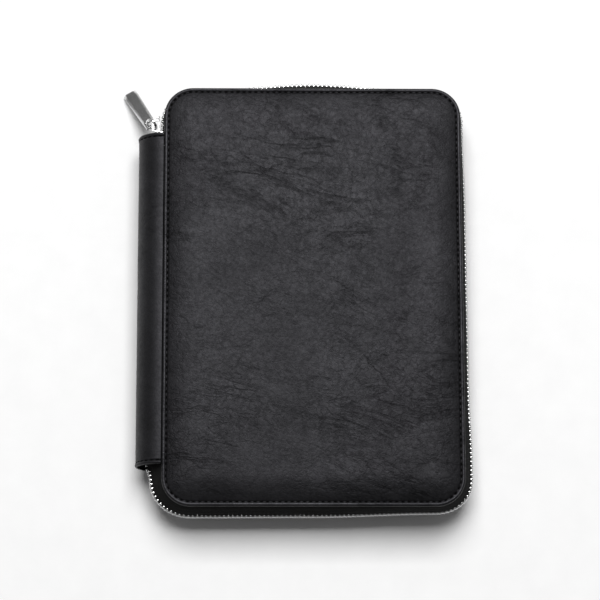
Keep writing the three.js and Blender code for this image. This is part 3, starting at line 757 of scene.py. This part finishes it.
EDGE_X = HALF_W - CORNER
EDGE_Y = HALF_H - CORNER
WAY = [
    straight((-HALF_W, SPINE_TOP - TAPE_TUCK), (-HALF_W, EDGE_Y), "slider_corner", "slider_corner"),
    bend((-EDGE_X, EDGE_Y), 180, "slider_corner", "slider_corner"),
    straight((-EDGE_X, HALF_H), (0, HALF_H), "slider_corner", "top_middle"),
    straight((0, HALF_H), (EDGE_X, HALF_H), "top_middle", "top_right"),
    bend((EDGE_X, EDGE_Y), 90, "top_right", "top_right"),
    straight((HALF_W, EDGE_Y), (HALF_W, EDGE_Y / 2), "top_right", "right_upper"),
    straight((HALF_W, EDGE_Y / 2), (HALF_W, -EDGE_Y / 2), "right_upper", "right_middle"),
    straight((HALF_W, -EDGE_Y / 2), (HALF_W, LOWER_BEND - EDGE_Y), "right_middle", "right_lower"),
    straight((HALF_W, LOWER_BEND - EDGE_Y), (HALF_W, -EDGE_Y), "right_lower", "right_lower"),
    bend((EDGE_X, -EDGE_Y), 0, "right_lower", "bottom_right"),
    straight((EDGE_X, -HALF_H), (0, -HALF_H), "bottom_right", "bottom_middle"),
    straight((0, -HALF_H), (-EDGE_X, -HALF_H), "bottom_middle", "bottom_left"),
    bend((-EDGE_X, -EDGE_Y), 270, "bottom_left", "spine_corner"),
    straight((-HALF_W, -EDGE_Y), (-HALF_W, SPINE_BOTTOM + TAPE_TUCK), "spine_corner", "spine_end"),
]


def way_places(spacing):
    """Points of the cover's edge with the outward direction and the chain's bulge, as arrays."""
    rows = []
    for stretch in WAY:
        if "centre" in stretch:
            length = math.pi / 2 * CORNER
        else:
            length = math.dist(stretch["start"], stretch["end"])
        steps = max(2, round(length / spacing))
        first, last = (BULGE[name] for name in stretch["ends"])
        for k in range(0 if not rows else 1, steps + 1):
            t = k / steps
            out = first + (last - first) * t * t * (3 - 2 * t)
            if "centre" in stretch:
                angle = math.radians(stretch["angle"] - 90 * t)
                nx, ny = math.cos(angle), math.sin(angle)
                px, py = (c + CORNER * n for c, n in zip(stretch["centre"], (nx, ny)))
            else:
                (ax, ay), (bx, by) = stretch["start"], stretch["end"]
                px, py = ax + (bx - ax) * t, ay + (by - ay) * t
                nx, ny = -(by - ay) / length, (bx - ax) / length
            rows.append((px, py, nx, ny, out))
    return np.array(rows)


def tape_section(out):
    """The tape's two faces, from the hem it is sewn under up into the teeth."""
    foot = [(-TURN_IN, WALL + TAPE_THICKNESS / 2), (-2.5, WALL + TAPE_THICKNESS / 2)]
    start, knee, end = (-0.8, WALL + 0.3), (0.3 * out, 8.5), (out, TAPE_EDGE + 1.1)
    curve = [
        tuple((1 - t) ** 2 * a + 2 * t * (1 - t) * b + t * t * c for a, b, c in zip(start, knee, end))
        for t in np.linspace(0, 1, 9)
    ]
    line = np.array(foot + curve)
    ahead = np.gradient(line, axis=0)
    across = np.column_stack([ahead[:, 1], -ahead[:, 0]])
    across /= np.linalg.norm(across, axis=1)[:, None]
    half = TAPE_THICKNESS / 2
    return np.concatenate([line + half * across, (line - half * across)[::-1]])


def zip_tape(name, front):
    places = way_places(2.0)
    ripple = smooth_noise(np.column_stack([places[:, 0], places[:, 1], np.zeros(len(places))]), 24, 1.5)
    loops = []
    for (px, py, nx, ny, out), wave in zip(places, ripple):
        section = tape_section(out)
        sway = 0.25 * wave * np.sin(np.clip((section[:, 1] - WALL) / (TAPE_EDGE - WALL), 0, 1) * math.pi)
        reach = section[:, 0] + sway
        z = THICKNESS - section[:, 1] if front else section[:, 1]
        loops.append(np.column_stack([px + nx * reach, py + ny * reach, z]))
    return mesh_object(name, *tube(loops), [TAPE])


def tooth_shape(centre, along, out, up):
    """One tooth: legs that grip the tape's edge, a waist and a rounded head."""
    centre, along, out = (np.asarray(v, float) for v in (centre, along, out))
    levels = [
        (-2.35, 0.42, 0.75), (-2.2, 0.6, 1.05), (-1.7, 0.66, 1.2), (-0.8, 0.64, 1.22),
        (-0.2, 0.56, 1.2), (0.2, 0.5, 1.05), (0.42, 0.32, 0.7),
    ]
    loops = []
    for height, half_along, half_out in levels:
        loop = []
        for a in np.linspace(0, 2 * math.pi, 12, endpoint=False):
            c, s = math.cos(a), math.sin(a)
            u = half_along * math.copysign(abs(c) ** 0.6, c)
            v = half_out * math.copysign(abs(s) ** 0.6, s)
            loop.append(centre + along * u + out * v + np.array((0, 0, up * height)))
        loops.append(loop)
    return tube(loops)


def chain():
    """The chain's middle line and its outward direction, with the length along it."""
    places = way_places(0.5)
    x, y = places[:, 0] + places[:, 2] * places[:, 4], places[:, 1] + places[:, 3] * places[:, 4]
    length = np.concatenate([[0], np.cumsum(np.hypot(np.diff(x), np.diff(y)))])
    return x, y, places[:, 2], places[:, 3], length


def zip_teeth(name, front):
    x, y, nx, ny, length = chain()
    first = TEETH_START + (TOOTH_PITCH / 2 if front else 0)
    last = length[-1] - TEETH_END
    shapes = []
    up = -1 if front else 1
    for s in np.arange(first, last, TOOTH_PITCH):
        px, py, out_x, out_y = (np.interp(s, length, values) for values in (x, y, nx, ny))
        size = math.hypot(out_x, out_y)
        out = (out_x / size, out_y / size, 0)
        along = (out[1], -out[0], 0)
        shapes.append(tooth_shape((px, py, MIDDLE), along, out, up))
    return mesh_object(name, *joined(shapes), [TOOTH_METAL], 50)


def build_zip():
    for side, front in (("back", False), ("front", True)):
        tape = zip_tape(f"{side}_woven_tape", front)
        teeth = zip_teeth(f"{side}_metal_teeth", front)
        for piece, slot, nodes in (
            (tape, "woven_tape", [f"{side}_zip_tape"]),
            (teeth, "zip_metal", [f"{side}_zip_teeth", f"{side}_teeth_corner"]),
        ):
            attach(piece, f"{side}_cover")
            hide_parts(*nodes)


# Metal parts that keep their own solids

def dress(node, material, bevel=0.0, segments=3):
    """Gives a solid its finish, with its sharp edges softened by a bevel in metres."""
    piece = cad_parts[node]
    piece.data.materials.clear()
    piece.data.materials.append(material)
    if bevel:
        weld = piece.modifiers.new("weld", "WELD")
        weld.merge_threshold = 1e-6
        soften = piece.modifiers.new("soften", "BEVEL")
        soften.width = bevel
        soften.segments = segments
        soften.limit_method = "ANGLE"
        soften.angle_limit = math.radians(24)
        soften.harden_normals = True
    piece.data.polygons.foreach_set("use_smooth", [True] * len(piece.data.polygons))
    return piece


def link_ring():
    """The link as a round ring, in the plane and at the size of its solid."""
    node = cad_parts["pull_link"]
    points = np.array([v.co for v in node.data.vertices])
    centre = points.mean(0)
    normal = np.linalg.svd(points - centre, full_matrices=False)[2][2]
    distance = np.linalg.norm(points - centre, axis=1)
    outer, inner = distance.max(), distance.min()
    ring, wire = (outer + inner) / 2, (outer - inner) / 2
    side = np.cross(normal, (0, 0, 1))
    side /= np.linalg.norm(side)
    other = np.cross(normal, side)
    loops = []
    for a in np.linspace(0, 2 * math.pi, 72, endpoint=False):
        out = side * math.cos(a) + other * math.sin(a)
        loops.append([
            (centre + out * (ring + wire * math.cos(b)) + normal * wire * math.sin(b)) / MM
            for b in np.linspace(0, 2 * math.pi, 20, endpoint=False)
        ])
    piece = mesh_object("link_ring", *ring_tube(loops), [LINK_METAL])
    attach(piece, "link")
    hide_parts("pull_link")


def build_metal():
    link_ring()
    dress("slider_body", PULL_METAL, 0.00022)
    dress("pull_tab", PULL_METAL, 0.00025, 4)
    for node in ("back_top_stop", "front_top_stop", "zip_end_stop"):
        dress(node, STOP_METAL, 0.0002)


# Inside

def sewn_panel(name, node, body, base, face, stitch_inset=1.8):
    """A leather panel sewn down on three sides and open at its top edge, with its stitches.

    base and face are the heights of its sewn side and of its outer face, in millimetres."""
    low, high = (Vector(corner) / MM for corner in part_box(node))
    up = 1 if face > base else -1
    thick = PANEL_THICKNESS
    xs = spread(low.x, high.x, PANEL_INSETS, round((high.x - low.x) / 3))
    ys = spread(low.y, high.y, PANEL_INSETS, round((high.y - low.y) / 3))
    x, y = (a.ravel() for a in np.meshgrid(xs, ys))
    sewn = np.minimum(np.minimum(x - low.x, high.x - x), y - low.y)
    free = high.y - y
    rise = np.clip((sewn - 1.2) / 4.5, 0, 1)
    rise = rise * rise * (3 - 2 * rise)
    full = abs(face - base)
    height = thick + (full - thick) * rise
    edge = np.minimum(sewn, free)
    height -= 0.3 * edge_round(edge, 0.5)
    height -= 0.16 * bump_at(sewn, stitch_inset, 0.35)
    height += 0.08 * rise * smooth_noise(np.column_stack([x, y, x * 0]), 22, 4.0)
    under = np.maximum(height - thick, 0.01)
    count, rows, columns = len(x), len(ys), len(xs)
    points = np.concatenate([
        np.column_stack([x, y, base + up * height]),
        np.column_stack([x, y, base + up * under]),
    ])
    faces = grid_faces(rows, columns) + grid_faces(rows, columns, count)
    rim = grid_rim(rows, columns)
    faces += [(a, b, b + count, a + count) for a, b in zip(rim, rim[1:] + rim[:1])]
    stitches = []
    z = base + up * (thick - 0.05)
    for x0, y0, x1, y1 in (
        (low.x + stitch_inset, low.y + 3, low.x + stitch_inset, high.y - 2),
        (high.x - stitch_inset, low.y + 3, high.x - stitch_inset, high.y - 2),
        (low.x + 3, low.y + stitch_inset, high.x - 3, low.y + stitch_inset),
    ):
        length = math.dist((x0, y0), (x1, y1))
        along = ((x1 - x0) / length, (y1 - y0) / length, 0)
        for s in np.arange(STITCH_PITCH / 2, length, STITCH_PITCH):
            centre = (x0 + along[0] * s, y0 + along[1] * s, z)
            stitches.append(thread_shape(centre, along, (0, 0, up), **PANEL_STITCH))
    all_points, all_faces = joined([(points, faces), *stitches])
    slots = [0] * len(faces) + [1] * (len(all_faces) - len(faces))
    piece = mesh_object(name, all_points, all_faces, [POCKET_LEATHER, THREAD], 50, slots)
    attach(piece, body)
    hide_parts(node)


def elastic_loop():
    """The pen loop: a flat elastic band round the pen, on a foot that is sewn to the lining."""
    low, high = (Vector(corner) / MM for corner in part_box("pen_loop"))
    reach = (high.z - low.z) / 2
    centre_x, centre_z = (low.x + high.x) / 2, (low.z + high.z) / 2
    band = BAND_THICKNESS
    section = [
        (0, 0.12), (0.12, 0), (0.5, 0), (0.88, 0), (1, 0.12),
        (1, 0.88), (0.88, 1), (0.5, 1), (0.12, 1), (0, 0.88),
    ]
    loops = []
    for a in np.linspace(0, 2 * math.pi, 64, endpoint=False):
        squeeze = max(0, -math.cos(a)) ** 6
        loop = []
        for t, depth in section:
            radius = reach - band * depth
            flare = 1 + 0.05 * squeeze
            y = low.y + (high.y - low.y) * t
            loop.append((centre_x + radius * flare * math.sin(a), y, centre_z + radius * math.cos(a)))
        loops.append(loop)
    foot = []
    wide, round_in = FOOT_HALF_WIDTH, FOOT_HALF_WIDTH - 0.4
    for y in (low.y, low.y + 0.2, high.y - 0.2, high.y):
        lift = band if low.y < y < high.y else band * 0.7
        foot.append([
            (centre_x + x, y, low.z + z)
            for x, z in (
                (-wide, 0.02), (wide, 0.02), (wide, lift * 0.8),
                (round_in, lift), (-round_in, lift), (-wide, lift * 0.8),
            )
        ])
    shape = joined([ring_tube(loops), tube(foot)])
    piece = mesh_object("elastic_pen_loop", *shape, [ELASTIC], 50)
    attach(piece, "back_cover")
    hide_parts("pen_loop")


def build_inside():
    lining_top = WALL + LINING_THICKNESS
    pocket_base = THICKNESS - lining_top
    sleeve_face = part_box("pad_sleeve")[1].z / MM
    document_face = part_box("document_pocket")[0].z / MM
    sewn_panel("sleeve_panel", "pad_sleeve", "back_cover", lining_top, sleeve_face)
    sewn_panel("document_panel", "document_pocket", "front_cover", pocket_base, document_face)
    for k in (1, 2, 3):
        low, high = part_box(f"card_pocket_{k}")
        sewn_panel(f"card_panel_{k}", f"card_pocket_{k}", "front_cover", high.z / MM, low.z / MM, 1.6)
    elastic_loop()
    for node in ("back_lining", "front_lining"):
        dress(node, LINING_FLAT)
    dress("paper_block", PAPER)
    dress("pad_backing_board", GREYBOARD)
    dress("pad_binding", BINDING)


# Room, lights and camera

def build_stage():
    """A pale floor: white to the camera, with the object's shadow, and throwing little light back."""
    corners = ((-1, -1), (1, -1), (1, 1), (-1, 1))
    points = [(x * FLOOR_REACH, y * FLOOR_REACH, -FLOOR_DROP) for x, y in corners]
    mesh = bpy.data.meshes.new("floor")
    mesh.from_pydata(points, [], [(0, 1, 2, 3)])
    material, nodes, links, shader = new_material("pale_floor")
    plain = coordinates(nodes, links, False)
    speckle = noise_node(nodes, links, plain, 60, 4)
    path = nodes.new("ShaderNodeLightPath").outputs
    seen = arithmetic(nodes, links, "MAXIMUM", path["Is Camera Ray"], path["Is Glossy Ray"])
    seen = arithmetic(nodes, links, "MAXIMUM", seen, path["Is Transmission Ray"])
    shade = nodes.new("ShaderNodeMix")
    shade.data_type = "RGBA"
    shade.inputs["A"].default_value = (0.15, 0.15, 0.15, 1)
    links.new(seen, shade.inputs["Factor"])
    links.new(ramp(nodes, links, speckle, [(0.3, 0.97), (0.7, 1)]), shade.inputs["B"])
    links.new(shade.outputs["Result"], shader.inputs["Base Color"])
    shader.inputs["Roughness"].default_value = 0.9
    shader.inputs["Specular IOR Level"].default_value = 0.1
    mesh.materials.append(material)
    floor = bpy.data.objects.new("floor", mesh)
    bpy.context.scene.collection.objects.link(floor)


def area_light(name, place, size, power, target=(0, 0, 0.02)):
    light = bpy.data.lights.new(name, "AREA")
    light.shape = "RECTANGLE"
    light.size, light.size_y = size
    light.energy = power
    lamp = bpy.data.objects.new(name, light)
    lamp.location = place
    lamp.rotation_euler = (Vector(target) - Vector(place)).to_track_quat("-Z", "Y").to_euler()
    bpy.context.scene.collection.objects.link(lamp)


def build_light():
    world = bpy.data.worlds.new("studio")
    world.use_nodes = True
    world.node_tree.nodes["Background"].inputs["Color"].default_value = (1, 1, 1, 1)
    world.node_tree.nodes["Background"].inputs["Strength"].default_value = WORLD_LEVEL
    bpy.context.scene.world = world
    area_light("overhead_window", **LAMP)


def build_camera():
    """The photograph's view: nearly from above, from the object's lower edge."""
    elevation, azimuth, roll = math.radians(77), math.radians(-4.3), math.radians(4.3)
    distance, focus_height = 1.6, 0.0338
    shift_right, shift_up = -0.00766, -0.00384
    back = Vector((
        math.sin(azimuth) * math.cos(elevation),
        -math.cos(azimuth) * math.cos(elevation),
        math.sin(elevation),
    ))
    level = Vector((math.cos(azimuth), math.sin(azimuth), 0))
    upright = back.cross(level)
    right = math.cos(roll) * level + math.sin(roll) * upright
    up = -math.sin(roll) * level + math.cos(roll) * upright
    camera = bpy.data.cameras.new("camera")
    camera.sensor_width = 36
    camera.lens = 164.8
    view = bpy.data.objects.new("camera", camera)
    place = Vector((0, 0, focus_height)) + back * distance + right * shift_right + up * shift_up
    turn = Matrix((right, up, back)).transposed().to_4x4()
    view.matrix_world = Matrix.Translation(place) @ turn
    bpy.context.scene.collection.objects.link(view)
    bpy.context.scene.camera = view


build_camera()
build_stage()
build_light()
build_covers()
build_spine()
build_zip()
build_metal()
build_inside()
bpy.context.scene.view_settings.view_transform = "Standard"

bpy.context.view_layer.update()
